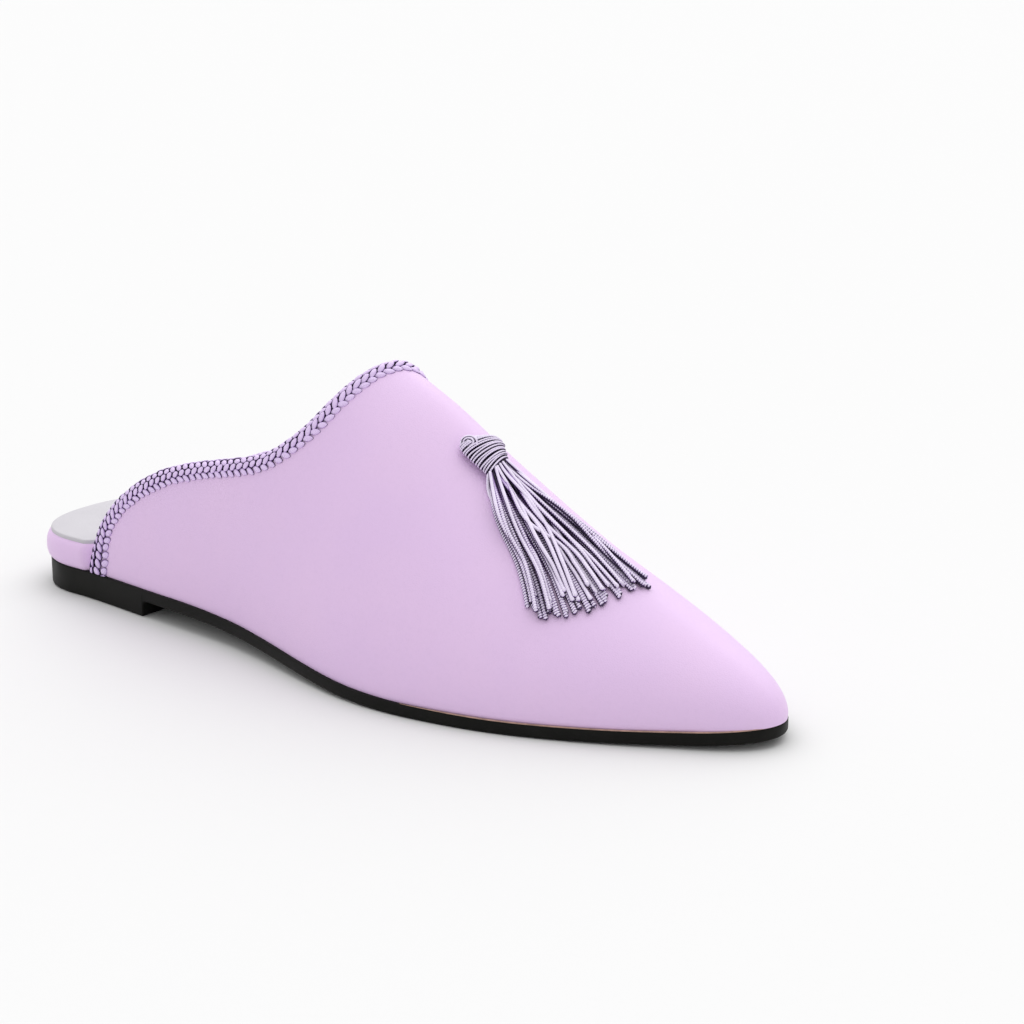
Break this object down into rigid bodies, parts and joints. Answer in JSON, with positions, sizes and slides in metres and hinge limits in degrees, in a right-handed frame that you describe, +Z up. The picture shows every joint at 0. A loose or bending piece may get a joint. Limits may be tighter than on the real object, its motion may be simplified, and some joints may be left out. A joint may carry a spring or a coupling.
{
  "type": "pointed backless slipper",
  "caption": "Backless slipper with a pointed toe in smooth pale lilac leather, a braided collar, a tassel on the vamp, a wrapped footbed and a thin black sole with a low heel",
  "frame": {"origin": "on the floor under the middle of the heel, on the shoe's long axis, 27 mm forward of the back of the sole", "axes": "+X runs forward to the toe, +Y to the wearer's left, which is the inner side of this right shoe, and +Z up"},
  "size_m": [0.2682, 0.0806, 0.0844],
  "materials": {
    "satin_leather": "smooth satin, pale lilac, with a very fine grain",
    "sole_rubber": "satin black, moulded",
    "pale_lining": "matt pale grey lining leather",
    "mauve_braid": "plaited mauve cord, satin thread",
    "mauve_cord": "twisted mauve cord, satin thread"
  },
  "bodies": {
    "root": {"outsole": "sole_rubber", "footbed": "satin_leather", "insole_sock": "pale_lining", "upper": "satin_leather", "collar_braid": "mauve_braid", "tassel_knot": "mauve_cord", "tassel_fringe": "mauve_cord"}
  },
  "joints": []
}
